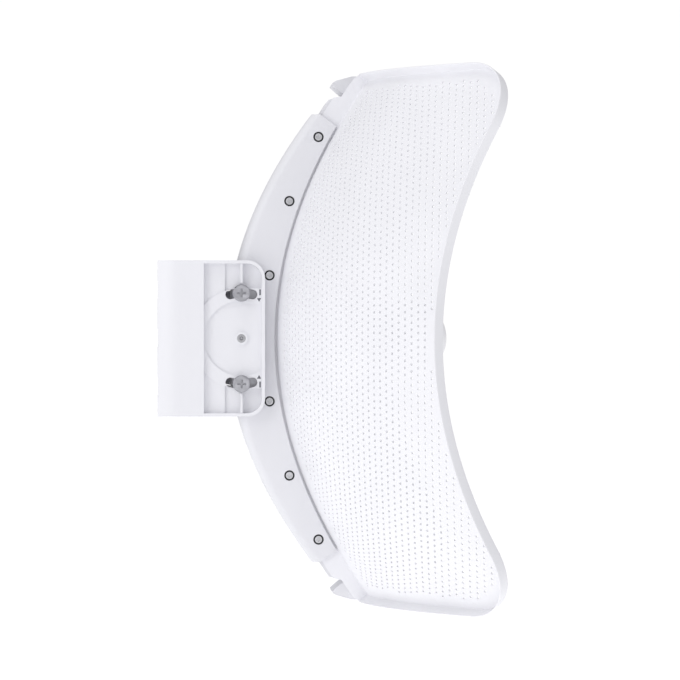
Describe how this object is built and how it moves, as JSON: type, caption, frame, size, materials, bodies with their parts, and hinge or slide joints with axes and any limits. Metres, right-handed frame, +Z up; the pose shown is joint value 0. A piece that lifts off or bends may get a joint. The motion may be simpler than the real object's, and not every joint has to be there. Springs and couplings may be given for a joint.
{
  "type": "point-to-point dish antenna",
  "caption": "Pole-mounted parabolic radio dish: perforated sheet wings on a curved spine, domed feed, and a fork bracket with arc-slot tilt adjustment.",
  "frame": {"origin": "on the axis of the pole that the bracket's cradle holds, level with the tilt pivot", "axes": "+X looks where the beam goes, square to the dish; +Y is towards the left wing; +Z is up, along the pole"},
  "size_m": [0.2215, 0.4552, 0.3648],
  "materials": {
    "wing_paint": "satin powder coat on pressed steel",
    "spine_plastic": "fine spark-eroded texture",
    "bracket_plastic": "fine moulded texture",
    "feed_plastic": "smooth matt",
    "cap_plastic": "smooth matt",
    "screw_steel": "zinc plated",
    "bolt_steel": "zinc plated",
    "pin_steel": "ground",
    "insert_brass": "turned",
    "coax_brass": "plated",
    "bush_plastic": "acetal",
    "seal_rubber": "matt",
    "grommet_rubber": "matt grey",
    "pad_silicone": "soft pad",
    "board_laminate": "solder mask",
    "bare_aluminium": "satin",
    "shield_tin": "tin plated",
    "jack_plastic": "moulded",
    "button_plastic": "moulded",
    "light_pipe": "clear acrylic"
  },
  "bodies": {
    "mount": {"pole_bracket": "bracket_plastic", "pivot_pin": "pin_steel"},
    "antenna": {"reflector_wing_left": "wing_paint", "reflector_wing_right": "wing_paint", "centre_strip": "wing_paint", "centre_column": "spine_plastic", "rear_housing": "spine_plastic", "housing_screws_left": "screw_steel", "housing_screws_right": "screw_steel", "threaded_inserts": "insert_brass", "pivot_bushes": "bush_plastic", "tilt_washers": "bolt_steel", "tilt_nuts": "bolt_steel", "feed_tube": "feed_plastic", "feed_cap": "cap_plastic", "feed_seal": "seal_rubber", "feed_screws": "screw_steel", "dipole_board": "board_laminate", "splash_plate": "bare_aluminium", "waveguide_tube": "bare_aluminium", "coax_lines": "coax_brass", "radio_board": "board_laminate", "rf_shield_can": "shield_tin", "thermal_pad": "pad_silicone", "heat_spreader": "bare_aluminium", "ethernet_jack": "jack_plastic", "reset_switch": "jack_plastic", "status_light_pipe": "light_pipe", "board_screws": "screw_steel", "door_pin": "pin_steel", "cable_grommet": "grommet_rubber"},
    "tilt_bolt_upper": {"tilt_bolt_upper": "bolt_steel"},
    "tilt_bolt_lower": {"tilt_bolt_lower": "bolt_steel"},
    "port_door": {"port_door": "spine_plastic", "door_gasket": "seal_rubber"},
    "reset_button": {"reset_button": "button_plastic"}
  },
  "joints": [
    {"name": "tilt", "type": "hinge", "parent": "mount", "child": "antenna", "pos_m": [0.0625, 0, 0], "axis": [0, -1, 0], "range_deg": [-14, 14]},
    {"name": "tilt_bolt_upper_turn", "type": "hinge", "parent": "antenna", "child": "tilt_bolt_upper", "pos_m": [0.0625, 0, 0.0311], "axis": [0, -1, 0], "continuous": true},
    {"name": "tilt_bolt_lower_turn", "type": "hinge", "parent": "antenna", "child": "tilt_bolt_lower", "pos_m": [0.0625, 0, -0.0311], "axis": [0, -1, 0], "continuous": true},
    {"name": "port_door_hinge", "type": "hinge", "parent": "antenna", "child": "port_door", "pos_m": [0.09704, 0, -0.131], "axis": [0, -1, 0], "range_deg": [0, 75]},
    {"name": "reset_press", "type": "slide", "parent": "antenna", "child": "reset_button", "axis": [0.9655, 0, 0.2605], "range_m": [0, 0.0004], "stiffness_N_per_m": 1000}
  ]
}
